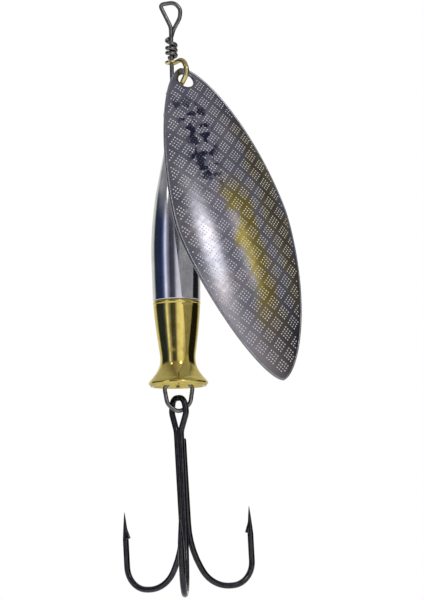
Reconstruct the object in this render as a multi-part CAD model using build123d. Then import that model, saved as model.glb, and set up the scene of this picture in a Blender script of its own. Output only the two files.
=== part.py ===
from build123d import *
import math
import os

# Inline spinner, in millimetres. +Z is up. The lure hangs on the Z axis from its line-tie eye, and the
# origin is the point inside the eye where the line pulls. The blade's crowned face looks to -Y.

# Main wire
WIRE_R = 0.425
RUN_CLEAR = 0.05
WIRE_GAP = 0.03
WRAP_R = 2 * WIRE_R + WIRE_GAP
WRAP_START_AZIMUTH = 225.0
TIGHT_TOP_Z = -7.6
TIGHT_PITCH = 1.0
TIGHT_TURNS = 2.625
LOOSE_PITCH = 3.2
LOOSE_TURNS = 0.5
TURN_CORNERS = 8
WRAP_BEND_R = 0.75
LOOP_TOP_Z = -73.4
LOOP_SHOULDER_X = 2.75
LOOP_SHOULDER_Z = -76.4
LOOP_SIDE_X = 2.25
LOOP_SIDE_Z = -79.5
LOOP_BOTTOM_Z = -81.1
LOOP_CORNER_DROP = 0.35
TAIL_X = -(2 * WIRE_R + WIRE_GAP)
TAIL_TOP_Z = -69.8
TAIL_BEND_Z = -74.3

# Tail sleeve
SLEEVE_R = 1.9
SLEEVE_TOP_Z = -69.6
SLEEVE_BOTTOM_Z = -72.9
SLEEVE_FIT = 0.02
SLEEVE_CHAMFER = 0.25

# Clevis
CLEVIS_AZIMUTH = 45.0
CLEVIS_WIRE_R = 0.5
EAR_R = 1.35
EAR_THICKNESS = 0.5
UPPER_EAR_Z = -11.35
LOWER_EAR_Z = -17.7
BOW_SHOULDER_R = 3.2
BOW_SHOULDER_Z = -11.15
BOW_REACH = 4.6
BOW_REACH_Z = -13.9
BOW_FOOT_R = 1.7
BOW_END_INSET = 0.25
BOW_FOOT_Z = LOWER_EAR_Z + BOW_END_INSET
BOW_RADII = [1.6, 2.2, 0.8]
BOW_CROSS_R = (BOW_REACH + BOW_FOOT_R) / 2
BOW_CROSS_Z = (BOW_REACH_Z + BOW_FOOT_Z) / 2

# Blade
BLADE_LENGTH = 67.0
BLADE_WIDTH = 24.5
BLADE_THICKNESS = 0.65
BLADE_HOLE_R = 1.6
BLADE_HOLE_FROM_TOP = 3.05
BLADE_LEAN = 16.3
BLADE_TILT = 9.0
BLADE_ROLL = 27.0
DISH_RADIUS_ACROSS = 29.0
DISH_RADIUS_ALONG = 180.0
OUTLINE_POWER = 1.56
OUTLINE_TOP_FULLNESS = 0.615
OUTLINE_TIP_FULLNESS = 0.642
OUTLINE_ARCS = 6
HOLE_SHIFT_ACROSS = 0.6
BLANK_MARGIN = 3.0
BLANK_DEPTH = 12.0

# Bearing beads
UPPER_BEAD_R = 1.35
UPPER_BEAD_TOP_Z = -18.0
UPPER_BEAD_BOTTOM_Z = -20.3
LOWER_BEAD_R = 1.9
LOWER_BEAD_TOP_Z = -20.35
LOWER_BEAD_BOTTOM_Z = -23.85

# Body
BODY_TOP_Z = -23.9
BODY_BOTTOM_Z = -59.4
BODY_NOSE_R = 1.1
BODY_SHOULDERS = [(2.2, -30.8), (3.8, -38.5)]
BODY_MAX_R = 4.8
BODY_MAX_Z = -48.0
BODY_END_R = 4.65
BODY_END_CHAMFER = 0.2

# Bell
BELL_TOP_Z = -59.45
BELL_TOP_R = 4.7
BELL_WAIST_Z = -70.1
BELL_WAIST_R = 3.45
BELL_SKIRT_Z = -75.2
BELL_SKIRT_R = 5.85
BELL_BOTTOM_Z = -76.2
BELL_SKIRT_EASE = 0.12
BELL_LIP_ROUND = 0.35
BELL_WALL = 0.6
BELL_CEILING_Z = -69.55
BELL_THROAT_Z = -71.6
BELL_CHAMBER_R = 2.35

# Treble
HOOK_WIRE_R = 0.6
STRAND_R = HOOK_WIRE_R * 2 / math.sqrt(3)
FRONT_AZIMUTH = -2.8
HOOK_STEP = 120.0
TREBLE_LEAN = 1.75
TREBLE_TIP_BACK = 3.5
SHANK_TWIST = 18.0
SHANK_GAP = 0.04
TREBLE_EYE_TOP_Z = -78.4
TREBLE_EYE_TOP_U = 1.45
TREBLE_EYE_SIDE_Z = -81.2
TREBLE_EYE_SIDE_U = 2.05
TREBLE_NECK_Z = -84.9
TREBLE_EYE_RADII = [2.5, 2.0, 1.35, 1.35, 2.0, 2.5]
SINGLE_SHANK_TOP_Z = -86.3
BEND_START_Z = -107.5
BEND_KNEE_R = 5.2
BEND_BOTTOM_Z = -115.65
BEND_RADII = [18.0, 7.0, 4.4]
POINT_R = 14.3
POINT_BASE_Z = -105.8
POINT_TIP_Z = -100.4
POINT_TIP_RADIUS = 0.05
BARB_TOP_Z = -103.4
BARB_BOTTOM_Z = -105.6
BARB_NOTCH = 0.75
BARB_REACH = 0.62
BARB_THICKNESS = 0.4


def polar(azimuth, radius, z):
    """A point at an angle from -Y, positive towards +X."""
    angle = math.radians(azimuth)
    return Vector(radius * math.sin(angle), -radius * math.cos(angle), z)


def tube(path, radius):
    """A round wire along a path."""
    section = Plane(origin=path @ 0, z_dir=path % 0) * Circle(radius)
    return sweep(section, path=path)


def bent_wire(points, radii, radius):
    """A round wire of straight runs joined by tangent arcs."""
    return tube(FilletPolyline(*points, radius=radii), radius)


def wrap_points():
    """The corners of the wire's turns round its own shaft, from its cut end up to the eye."""
    corner_r = WRAP_R / math.cos(math.pi / TURN_CORNERS)
    corners = round((TIGHT_TURNS + LOOSE_TURNS) * TURN_CORNERS)
    points = []
    for corner in range(corners + 1):
        climbed = corner / TURN_CORNERS
        tight_left = max(0.0, TIGHT_TURNS - climbed)
        loose = max(0.0, climbed - TIGHT_TURNS)
        z = TIGHT_TOP_Z - TIGHT_PITCH * tight_left + LOOSE_PITCH * loose
        points.append(polar(WRAP_START_AZIMUTH - 360 * climbed, corner_r, z))
    return points


def make_main_wire():
    wrap = wrap_points()
    eye = [
        (0.45, 0.75, -4.5),
        (1.85, 0, -2.2),
        (1.95, 0, -0.4),
        (0.75, 0, 0.97),
        (-2.16, 0, 0.55),
        (0, 0, -4.15),
    ]
    eye_radii = [1.2, 2.5, 1.4, 1.6, 0.5, 3.0]
    loop = [
        (0, 0, LOOP_TOP_Z),
        (LOOP_SHOULDER_X, 0, LOOP_SHOULDER_Z),
        (LOOP_SIDE_X, 0, LOOP_SIDE_Z),
        (0, 0, LOOP_BOTTOM_Z - LOOP_CORNER_DROP),
        (-LOOP_SIDE_X, 0, LOOP_SIDE_Z),
        (-LOOP_SHOULDER_X, 0, LOOP_SHOULDER_Z),
        (TAIL_X, 0, TAIL_BEND_Z),
        (TAIL_X, 0, TAIL_TOP_Z),
    ]
    loop_radii = [1.2, 0.9, 2.0, 1.6, 2.0, 0.7, 0.9]
    wrap_radii = [WRAP_BEND_R] * (len(wrap) - 1)
    return bent_wire(wrap + eye + loop, wrap_radii + eye_radii + loop_radii, WIRE_R)


def make_tail_sleeve():
    height = SLEEVE_TOP_Z - SLEEVE_BOTTOM_Z
    middle = (SLEEVE_TOP_Z + SLEEVE_BOTTOM_Z) / 2
    bore_r = WIRE_R + SLEEVE_FIT
    sleeve = chamfer(Cylinder(SLEEVE_R, height).edges().filter_by(GeomType.CIRCLE), SLEEVE_CHAMFER)
    sleeve -= Cylinder(bore_r, height)
    sleeve -= Pos(TAIL_X, 0, 0) * Cylinder(bore_r, height)
    sleeve -= Pos(TAIL_X / 2, 0, 0) * Box(abs(TAIL_X), 2 * bore_r, height)
    return Pos(0, 0, middle) * sleeve


def make_clevis():
    bow = [
        polar(CLEVIS_AZIMUTH, EAR_R / 2, UPPER_EAR_Z - BOW_END_INSET),
        polar(CLEVIS_AZIMUTH, BOW_SHOULDER_R, BOW_SHOULDER_Z),
        polar(CLEVIS_AZIMUTH, BOW_REACH, BOW_REACH_Z),
        polar(CLEVIS_AZIMUTH, BOW_FOOT_R, BOW_FOOT_Z),
        polar(CLEVIS_AZIMUTH, EAR_R / 2, BOW_FOOT_Z),
    ]
    clevis = bent_wire(bow, BOW_RADII, CLEVIS_WIRE_R)
    for ear_z in (UPPER_EAR_Z, LOWER_EAR_Z):
        clevis += Pos(0, 0, ear_z) * Cylinder(EAR_R, EAR_THICKNESS)
        clevis -= Pos(0, 0, ear_z) * Cylinder(WIRE_R + RUN_CLEAR, 4 * CLEVIS_WIRE_R)
    return clevis


def blade_half_width(from_top):
    """Half the blade's width at a distance from its top end."""
    half = BLADE_LENGTH / 2
    away = min(1.0, abs(from_top - half) / half)
    fullness = OUTLINE_TOP_FULLNESS if from_top < half else OUTLINE_TIP_FULLNESS
    return BLADE_WIDTH / 2 * (1 - away**OUTLINE_POWER) ** fullness


def blade_plane():
    """The blade's plane: X across it to the right, Y up its length, Z out of its crowned face."""
    lean = math.radians(BLADE_LEAN)
    tilt = math.radians(BLADE_TILT)
    roll = math.radians(BLADE_ROLL)
    across = Vector(math.cos(lean), 0, math.sin(lean))
    down = Vector(math.sin(lean), 0, -math.cos(lean)) * math.cos(tilt) + Vector(0, -math.sin(tilt), 0)
    out = down.cross(across)
    across = across * math.cos(roll) - out * math.sin(roll)
    out = down.cross(across)
    crossing = polar(CLEVIS_AZIMUTH, BOW_CROSS_R, BOW_CROSS_Z)
    hole = crossing + across * HOLE_SHIFT_ACROSS
    return Plane(origin=hole, x_dir=across, z_dir=out)


def make_blade():
    top_y = BLADE_HOLE_FROM_TOP
    middle_y = top_y - BLADE_LENGTH / 2
    hole_drop = (BLADE_LENGTH / 2 - BLADE_HOLE_FROM_TOP) ** 2 / (2 * DISH_RADIUS_ALONG)
    crown_z = hole_drop + BLADE_THICKNESS / 2

    inner_r = DISH_RADIUS_ACROSS - BLADE_THICKNESS
    centre = (0, middle_y, crown_z - DISH_RADIUS_ACROSS)
    sheet = Plane(origin=centre, x_dir=(1, 0, 0), z_dir=(0, -1, 0)) * Circle(DISH_RADIUS_ACROSS)
    sheet -= Plane(origin=centre, x_dir=(1, 0, 0), z_dir=(0, -1, 0)) * Circle(inner_r)
    window = Rectangle(BLADE_WIDTH + 2 * BLANK_MARGIN, BLANK_DEPTH)
    section = sheet & Plane(origin=(0, middle_y, crown_z), x_dir=(1, 0, 0), z_dir=(0, -1, 0)) * window
    spine = Axis((0, middle_y, crown_z - DISH_RADIUS_ALONG), (1, 0, 0))
    half_turn = math.degrees((BLADE_LENGTH / 2 + BLANK_MARGIN) / DISH_RADIUS_ALONG)
    dished = revolve(section.rotate(spine, -half_turn), spine, revolution_arc=2 * half_turn)

    outline_points = []
    for step in range(2 * OUTLINE_ARCS + 1):
        from_top = BLADE_LENGTH * (1 - math.cos(math.pi * step / (2 * OUTLINE_ARCS))) / 2
        outline_points.append((blade_half_width(from_top), top_y - from_top))
    right = Curve()
    for first in range(0, 2 * OUTLINE_ARCS, 2):
        right += ThreePointArc(*outline_points[first : first + 3])
    left = mirror(right, Plane.YZ)
    blade = dished & extrude(make_face(right + left), amount=BLANK_DEPTH, both=True)
    blade -= Cylinder(BLADE_HOLE_R, BLANK_DEPTH)
    return blade_plane() * blade


def make_bead(radius, top_z, bottom_z):
    """A drilled bead with flattened ends."""
    height = top_z - bottom_z
    bead = Sphere(radius) & Cylinder(radius + 1, height)
    bead -= Cylinder(WIRE_R + RUN_CLEAR, height + 2)
    return Pos(0, 0, (top_z + bottom_z) / 2) * bead


def turned(outline_edges):
    """A turned piece from the closed outline of its half section, drawn in X and Z."""
    return revolve(make_face(outline_edges), Axis.Z)


def make_body():
    bore_r = WIRE_R + RUN_CLEAR
    nose = (BODY_NOSE_R, 0, BODY_TOP_Z)
    widest = (BODY_MAX_R, 0, BODY_MAX_Z)
    end_side = (BODY_END_R, 0, BODY_BOTTOM_Z + BODY_END_CHAMFER)
    end_face = (BODY_END_R - BODY_END_CHAMFER, 0, BODY_BOTTOM_Z)
    shoulders = [(radius, 0, z) for radius, z in BODY_SHOULDERS]
    edges = Spline(nose, *shoulders, widest, end_side)
    edges += Line(end_side, end_face)
    edges += Line(end_face, (bore_r, 0, BODY_BOTTOM_Z))
    edges += Line((bore_r, 0, BODY_BOTTOM_Z), (bore_r, 0, BODY_TOP_Z))
    edges += Line((bore_r, 0, BODY_TOP_Z), nose)
    return turned(edges)


def make_bell():
    bore_r = WIRE_R + RUN_CLEAR
    lip_middle_z = (BELL_SKIRT_Z + BELL_BOTTOM_Z) / 2
    rim_top = (BELL_TOP_R, 0, BELL_TOP_Z)
    waist = (BELL_WAIST_R, 0, BELL_WAIST_Z)
    skirt = (BELL_SKIRT_R - BELL_SKIRT_EASE, 0, BELL_SKIRT_Z)
    lip_side = (BELL_SKIRT_R, 0, lip_middle_z)
    lip_end = (BELL_SKIRT_R - BELL_LIP_ROUND, 0, BELL_BOTTOM_Z)
    mouth = (BELL_SKIRT_R - BELL_LIP_ROUND - BELL_WALL, 0, BELL_BOTTOM_Z)
    throat = (BELL_CHAMBER_R, 0, BELL_THROAT_Z)
    ceiling = (BELL_CHAMBER_R, 0, BELL_CEILING_Z)
    edges = Spline(rim_top, waist, skirt, tangents=[(-0.15, 0, -1), (0.9, 0, -1)])
    edges += ThreePointArc(skirt, lip_side, lip_end)
    edges += Line(lip_end, mouth)
    edges += Spline(mouth, throat, tangents=[(-0.9, 0, 1), (0, 0, 1)])
    edges += Line(throat, ceiling)
    edges += Line(ceiling, (bore_r, 0, BELL_CEILING_Z))
    edges += Line((bore_r, 0, BELL_CEILING_Z), (bore_r, 0, BELL_TOP_Z))
    edges += Line((bore_r, 0, BELL_TOP_Z), rim_top)
    return turned(edges)


def hook_points(azimuth, shank_r=STRAND_R):
    """The corners of one hook, from the start of its bend to the base of its point."""
    return [
        polar(azimuth, shank_r, BEND_START_Z),
        polar(azimuth, BEND_KNEE_R, BEND_BOTTOM_Z),
        polar(azimuth, POINT_R, BEND_BOTTOM_Z),
        polar(azimuth, POINT_R, POINT_BASE_Z),
    ]


def make_point(azimuth):
    """The tapered point of a hook and its barb."""
    height = POINT_TIP_Z - POINT_BASE_Z
    point = Pos(POINT_R, 0, POINT_BASE_Z + height / 2) * Cone(HOOK_WIRE_R, POINT_TIP_RADIUS, height)
    inner = POINT_R - HOOK_WIRE_R / 3
    barb_outline = Polyline(
        (inner, 0, BARB_TOP_Z),
        (POINT_R - HOOK_WIRE_R - BARB_REACH, 0, BARB_BOTTOM_Z),
        (inner, 0, BARB_BOTTOM_Z + BARB_NOTCH),
        close=True,
    )
    barb = extrude(make_face(barb_outline), amount=BARB_THICKNESS / 2, both=True)
    return Rot(0, 0, azimuth - 90) * (point + barb)


def hung(piece):
    """The treble hangs on the loop with a slight lean, and its bends swing back a little."""
    turn = Rot(TREBLE_TIP_BACK, 0, 0) * Rot(0, -TREBLE_LEAN, 0)
    return Pos(0, 0, LOOP_BOTTOM_Z) * turn * Pos(0, 0, -LOOP_BOTTOM_Z) * piece


def make_double_hook():
    front = FRONT_AZIMUTH
    left = FRONT_AZIMUTH - HOOK_STEP
    front_strand = polar(front + SHANK_TWIST, STRAND_R, 0)
    left_strand = polar(left + SHANK_TWIST, STRAND_R, 0)
    neck_middle = (front_strand + left_strand) / 2
    eye_dir = (front_strand - left_strand).normalized()
    rise = Vector(0, 0, 1)

    eye = [
        neck_middle + eye_dir * HOOK_WIRE_R + rise * TREBLE_NECK_Z,
        eye_dir * TREBLE_EYE_SIDE_U + rise * TREBLE_EYE_SIDE_Z,
        eye_dir * TREBLE_EYE_TOP_U + rise * TREBLE_EYE_TOP_Z,
        eye_dir * -TREBLE_EYE_TOP_U + rise * TREBLE_EYE_TOP_Z,
        eye_dir * -TREBLE_EYE_SIDE_U + rise * TREBLE_EYE_SIDE_Z,
        neck_middle - eye_dir * HOOK_WIRE_R + rise * TREBLE_NECK_Z,
    ]
    points = list(reversed(hook_points(front))) + eye + hook_points(left)
    radii = list(reversed(BEND_RADII)) + TREBLE_EYE_RADII + BEND_RADII
    hook = bent_wire(points, radii, HOOK_WIRE_R)
    return hung(hook + make_point(front) + make_point(left))


def make_single_hook():
    right = FRONT_AZIMUTH + HOOK_STEP
    shank_r = STRAND_R + SHANK_GAP
    shank_top = polar(right + SHANK_TWIST, shank_r, SINGLE_SHANK_TOP_Z)
    hook = bent_wire([shank_top] + hook_points(right, shank_r), BEND_RADII, HOOK_WIRE_R)
    return hung(hook + make_point(right))


def main():
    os.makedirs("parts", exist_ok=True)
    nodes = {
        "main_wire": make_main_wire(),
        "tail_sleeve": make_tail_sleeve(),
        "clevis": make_clevis(),
        "blade": make_blade(),
        "upper_bead": make_bead(UPPER_BEAD_R, UPPER_BEAD_TOP_Z, UPPER_BEAD_BOTTOM_Z),
        "lower_bead": make_bead(LOWER_BEAD_R, LOWER_BEAD_TOP_Z, LOWER_BEAD_BOTTOM_Z),
        "body": make_body(),
        "bell": make_bell(),
        "treble_double_hook": make_double_hook(),
        "treble_single_hook": make_single_hook(),
    }
    for name, shape in nodes.items():
        export_step(shape, f"parts/{name}.step")
    return nodes


NODES = main()
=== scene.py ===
import math

import bmesh
import bpy
from mathutils import Matrix, Vector, geometry, noise


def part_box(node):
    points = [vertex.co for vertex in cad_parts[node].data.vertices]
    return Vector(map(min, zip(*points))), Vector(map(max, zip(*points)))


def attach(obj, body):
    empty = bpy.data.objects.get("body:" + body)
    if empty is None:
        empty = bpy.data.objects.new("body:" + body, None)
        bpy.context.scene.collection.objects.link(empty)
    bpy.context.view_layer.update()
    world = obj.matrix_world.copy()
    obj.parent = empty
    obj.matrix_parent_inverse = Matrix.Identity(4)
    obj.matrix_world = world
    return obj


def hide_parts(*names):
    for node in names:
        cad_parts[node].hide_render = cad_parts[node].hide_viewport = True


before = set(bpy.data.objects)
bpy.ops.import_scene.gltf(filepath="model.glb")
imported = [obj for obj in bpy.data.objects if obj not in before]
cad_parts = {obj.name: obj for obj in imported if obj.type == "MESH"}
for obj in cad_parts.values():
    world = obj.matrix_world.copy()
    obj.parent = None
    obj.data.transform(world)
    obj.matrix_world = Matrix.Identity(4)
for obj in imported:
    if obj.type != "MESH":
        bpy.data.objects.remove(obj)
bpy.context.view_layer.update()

# Lengths below are in millimetres, in the row's frame, and MM turns them into metres.
MM = 0.001

# Main wire
WIRE_R = 0.425
WIRE_GAP = 0.03
WRAP_R = 2 * WIRE_R + WIRE_GAP
WRAP_START_AZIMUTH = 225.0
TIGHT_TOP_Z = -7.6
TIGHT_PITCH = 1.0
TIGHT_TURNS = 2.625
LOOSE_PITCH = 3.2
LOOSE_TURNS = 0.5
WRAP_STEPS = 32
EYE_CORNERS = [(0.45, 0.75, -4.5), (1.85, 0, -2.2), (1.95, 0, -0.4)]
EYE_CORNERS += [(0.75, 0, 0.97), (-2.16, 0, 0.55), (0, 0, -4.15)]
EYE_RADII = [1.2, 2.5, 1.4, 1.6, 0.5, 3.0]
LOOP_TOP_Z = -73.4
LOOP_SHOULDER_X = 2.75
LOOP_SHOULDER_Z = -76.4
LOOP_SIDE_X = 2.25
LOOP_SIDE_Z = -79.5
LOOP_BOTTOM_Z = -81.1
LOOP_CORNER_DROP = 0.35
LOOP_RADII = [1.2, 0.9, 2.0, 1.6, 2.0, 0.7, 0.9]
TAIL_X = -WRAP_R
TAIL_BEND_Z = -74.3
TAIL_TOP_Z = -69.8
WIRE_END_SHARE = 0.82
WIRE_END_SLOPE = 1.3

# Clevis
CLEVIS_AZIMUTH = 45.0
CLEVIS_WIRE_R = 0.5
EAR_R = 1.35
EAR_THICKNESS = 0.5
UPPER_EAR_Z = -11.35
LOWER_EAR_Z = -17.7
BOW_SHOULDER_R = 3.2
BOW_SHOULDER_Z = -11.15
BOW_REACH = 4.6
BOW_REACH_Z = -13.9
BOW_FOOT_R = 1.7
BOW_END_INSET = 0.25
BOW_FOOT_Z = LOWER_EAR_Z + BOW_END_INSET
BOW_RADII = [1.6, 2.2, 0.8]
BOW_CROSS_R = (BOW_REACH + BOW_FOOT_R) / 2
BOW_CROSS_Z = (BOW_REACH_Z + BOW_FOOT_Z) / 2
BOW_END_SHARE = 0.86
BOW_SWELL = 0.2
EAR_EDGE_R = 0.16
EAR_CHAMFER = 0.06

# Bores on the wire, beads, body and bell
RUN_R = 0.475
UPPER_BEAD_R = 1.35
LOWER_BEAD_R = 1.9
BEAD_CHAMFER = 0.1
BEAD_FLAT_INSET = 0.12
BORE_CHAMFER = 0.08
BODY_NOSE_R = 0.95
BODY_SHOULDERS = [(1.55, -27.0), (2.2, -30.8), (3.05, -34.9), (3.8, -38.5)]
BODY_SHOULDERS += [(4.42, -43.0), (4.75, -47.0), (4.83, -50.0), (4.78, -54.0)]
BODY_FOOT_R = 4.68
BODY_FOOT_EDGE_R = 0.3
BELL_TOP_R = 4.69
BELL_TOP_EDGE_R = 0.22
BELL_SKIRT = [(4.42, -62.6), (4.1, -65.6), (3.72, -68.4), (3.46, -70.4)]
BELL_SKIRT += [(3.6, -71.9), (4.15, -73.2), (4.95, -74.3), (5.5, -74.9)]
BELL_LIP = (5.38, -75.5)
BELL_LIP_R = 0.46
BELL_THROAT = [(4.6, -75.7), (3.9, -74.9), (3.1, -73.7), (2.55, -72.4), (2.35, -71.4)]
BELL_CHAMBER_R = 2.35
BELL_CHAMBER_TOP_Z = -69.55
BELL_CHAMBER_EDGE = 0.2
BELL_BORE_CHAMFER = 0.1

# Blade
BLADE_LENGTH = 67.0
BLADE_WIDTH = 24.5
BLADE_THICKNESS = 0.65
BLADE_HOLE_R = 1.6
BLADE_HOLE_FROM_TOP = 3.05
BLADE_LEAN = 16.3
BLADE_TILT = 9.0
BLADE_ROLL = 27.0
DISH_RADIUS_ACROSS = 29.0
DISH_RADIUS_ALONG = 180.0
OUTLINE_POWER = 1.56
OUTLINE_TOP_FULLNESS = 0.615
OUTLINE_TIP_FULLNESS = 0.642
HOLE_SHIFT_ACROSS = 0.6

# Embossed dots: diamonds of four by four, with every fifth row and column left flat
DIAMOND_STEP_A = Vector((-1.66, 2.15))
DIAMOND_STEP_B = Vector((2.19, 1.96))
DOTS_PER_STEP = 5
DOT_R = 0.15
DOT_HEIGHT = 0.085
DOT_EDGE_MARGIN = 0.75
DOT_HOLE_MARGIN = 0.55
DOT_TOP_MARGIN = 1.2
DOT_TIP_MARGIN = 1.6
SLOPE_STEP = 0.2
DOT_SIDES = 8
DOT_RINGS = [(1.0, 0.0), (0.62, 0.72)]
LATTICE_SHIFT = 0.35
LATTICE_REACH = 130

# Tones on the blade's face, as shares across from its left edge and down from its top
# The warm bands below are a painted reflection of the bell and room, not a stain.
WARM_REFLECTION_ACROSS = (0.42, 0.49, 0.60, 0.68)
WARM_REFLECTION_DOWN = (0.36, 0.44, 0.76, 0.90)
EDGE_REFLECTION_ACROSS = (0.70, 0.80, 0.90, 0.97)
EDGE_REFLECTION_DOWN = (0.15, 0.28, 0.75, 0.90)
EDGE_REFLECTION_STRENGTH = 0.6
MARKS_ACROSS = (0.25, 0.32, 0.50, 0.56)
MARKS_DOWN = (0.08, 0.14, 0.36, 0.42)
MARKS_COLOUR = (0.012, 0.015, 0.045)

# The blade's skin: its border, its filling points and the triangles' clearances
OUTLINE_POINTS = 460
OUTLINE_FINE_STEPS = 4000
OUTLINE_FINE_STEP = 0.02
HOLE_POINTS = 56
RIM_WIDTH = 0.34
HOLE_BORDER = 0.2
BACK_BORDER = 0.2
BACK_HOLE_BORDER = 0.14
FILL_STEP = 0.9
FRONT_FILL_MARGIN = RIM_WIDTH + 0.25
BACK_FILL_MARGIN = 0.7
HOLE_FILL_MARGIN = 0.5
BAND_CLEARANCE = 0.36
FRONT_CLEARANCE = RIM_WIDTH * 0.98
BACK_CLEARANCE = BACK_BORDER * 0.95
HOLE_SLIVER = 0.03
FACE_SLOT, DOT_SLOT, RIM_SLOT, BACK_SLOT = range(4)

# Treble
HOOK_WIRE_R = 0.6
STRAND_R = HOOK_WIRE_R * 2 / math.sqrt(3)
FRONT_AZIMUTH = -2.8
HOOK_STEP = 120.0
TREBLE_LEAN = 1.75
TREBLE_TIP_BACK = 3.5
SHANK_TWIST = 18.0
SHANK_GAP = 0.04
TREBLE_EYE_TOP_Z = -78.4
TREBLE_EYE_TOP_U = 1.45
TREBLE_EYE_SIDE_Z = -81.2
TREBLE_EYE_SIDE_U = 2.05
TREBLE_NECK_Z = -84.9
TREBLE_EYE_RADII = [2.5, 2.0, 1.35, 1.35, 2.0, 2.5]
SINGLE_SHANK_TOP_Z = -86.3
BEND_START_Z = -107.5
BEND_KNEE_R = 5.2
BEND_BOTTOM_Z = -115.65
BEND_RADII = [18.0, 7.0, 4.4]
POINT_R = 14.3
POINT_BASE_Z = -105.8
POINT_TIP_Z = -100.4
BARB_TOP_Z = -103.4
BARB_BOTTOM_Z = -105.6
BARB_REACH = 0.62

# Braze between the shanks
BRAZE_CORE_R = 0.4
BRAZE_SWELL = 0.26
BRAZE_EASE = 0.8
BRAZE_RIPPLE = 0.05

# Camera: distance, the view's height at the lure, and the way that the lure stands in the frame
CAMERA_DISTANCE = 390.0
VIEW_HEIGHT = 118.0
VIEW_ELEVATION = -7.0
VIEW_ROLL = 1.33
VIEW_CENTRE_Z = -59.1
VIEW_SHIFT_RIGHT = 6.95
SENSOR = 36.0

# Studio: colours of the reflected cards by azimuth from -Y in degrees, low down and high up
LEVEL_CARDS = [
    (-180, (0.80, 0.80, 0.76)),
    (-130, (0.62, 0.62, 0.56)),
    (-116, (0.02, 0.03, 0.05)),
    (-72, (0.02, 0.03, 0.07)),
    (-60, (0.10, 0.13, 0.32)),
    (-50, (0.95, 0.97, 1.0)),
    (-40, (0.30, 0.30, 0.42)),
    (-27, (0.04, 0.04, 0.06)),
    (-8, (0.08, 0.08, 0.10)),
    (4, (0.70, 0.69, 0.75)),
    (28, (0.90, 0.88, 0.92)),
    (45, (0.50, 0.47, 0.46)),
    (62, (0.20, 0.17, 0.15)),
    (76, (0.01, 0.01, 0.012)),
    (126, (0.012, 0.012, 0.015)),
    (142, (0.5, 0.49, 0.45)),
    (180, (0.80, 0.80, 0.76)),
]
UPPER_CARDS = [
    (-180, (0.55, 0.55, 0.55)),
    (-90, (0.30, 0.30, 0.32)),
    (-40, (0.16, 0.14, 0.14)),
    (-15, (0.26, 0.24, 0.25)),
    (12, (0.36, 0.36, 0.40)),
    (40, (0.42, 0.42, 0.50)),
    (60, (0.38, 0.38, 0.46)),
    (85, (0.36, 0.36, 0.40)),
    (97, (0.14, 0.14, 0.20)),
    (130, (0.5, 0.5, 0.5)),
    (180, (0.55, 0.55, 0.55)),
]
UNDER_COLOUR = (0.55, 0.55, 0.54)
UPPER_BAND = (0.30, 0.46)
UNDER_BAND = (-0.25, -0.5)

# Bright patches of the studio: azimuth, height, half width and softness in degrees, and colour
PATCHES = [
    (21.0, 29.0, 3.0, 5.5, (4.6, 4.6, 4.7)),
    (-43.0, 31.0, 3.0, 4.0, (2.0, 2.0, 1.9)),
    (52.0, 31.0, 3.0, 4.0, (1.6, 1.6, 1.5)),
]
FLOOR_REACH = 400.0
FLOOR_Z = -160.0


# ---------------------------------------------------------------- paths and meshes


def polar(azimuth, radius, z):
    """A point at an angle from -Y, positive towards +X."""
    angle = math.radians(azimuth)
    return Vector((radius * math.sin(angle), -radius * math.cos(angle), z))


def rounded_path(corners, radii, arc_step=5.0):
    """Straight runs joined by tangent arcs, as a list of points."""
    corners = [Vector(c) for c in corners]
    path = [corners[0]]
    for before, corner, after, radius in zip(corners, corners[1:], corners[2:], radii):
        arrive = (corner - before).normalized()
        leave = (after - corner).normalized()
        turn = arrive.angle(leave)
        reach = radius * math.tan(turn / 2)
        start = corner - arrive * reach
        inward = (leave - arrive).normalized()
        centre = corner + inward * (radius / math.cos(turn / 2))
        spoke = start - centre
        axis = arrive.cross(leave).normalized()
        steps = max(2, int(math.degrees(turn) / arc_step))
        for step in range(steps + 1):
            path.append(centre + Matrix.Rotation(turn * step / steps, 3, axis) @ spoke)
    path.append(corners[-1])
    return path


def resampled(path, step):
    """The same path with evenly spaced points."""
    lengths = [0.0]
    for a, b in zip(path, path[1:]):
        lengths.append(lengths[-1] + (b - a).length)
    count = max(2, int(lengths[-1] / step))
    result = []
    segment = 0
    for index in range(count + 1):
        target = lengths[-1] * index / count
        while segment < len(path) - 2 and lengths[segment + 1] < target:
            segment += 1
        span = lengths[segment + 1] - lengths[segment]
        share = (target - lengths[segment]) / span if span > 0 else 0
        result.append(path[segment].lerp(path[segment + 1], share))
    return result


def relaxed(path, rounds):
    """The path with its small corners eased, and its ends kept."""
    for _ in range(rounds):
        eased = [path[0]]
        for a, b, c in zip(path, path[1:], path[2:]):
            eased.append(b * 0.5 + (a + c) * 0.25)
        eased.append(path[-1])
        path = eased
    return path


def tube_rings(path, radius_at, sides, bulge=None):
    """Rings of points along a path. radius_at takes the distance from the start and from the end."""
    lengths = [0.0]
    for a, b in zip(path, path[1:]):
        lengths.append(lengths[-1] + (b - a).length)
    total = lengths[-1]
    tangents = []
    for index in range(len(path)):
        ahead = path[min(index + 1, len(path) - 1)]
        behind = path[max(index - 1, 0)]
        tangents.append((ahead - behind).normalized())
    side = tangents[0].orthogonal().normalized()
    rings = []
    for index, (centre, tangent) in enumerate(zip(path, tangents)):
        side = (side - tangent * side.dot(tangent)).normalized()
        other = tangent.cross(side)
        radius = radius_at(lengths[index], total - lengths[index])
        ring = []
        for k in range(sides):
            angle = 2 * math.pi * k / sides
            out = side * math.cos(angle) + other * math.sin(angle)
            reach = radius
            if bulge:
                reach += bulge(centre, out)
            ring.append(centre + out * reach)
        rings.append(ring)
    return rings


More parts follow.
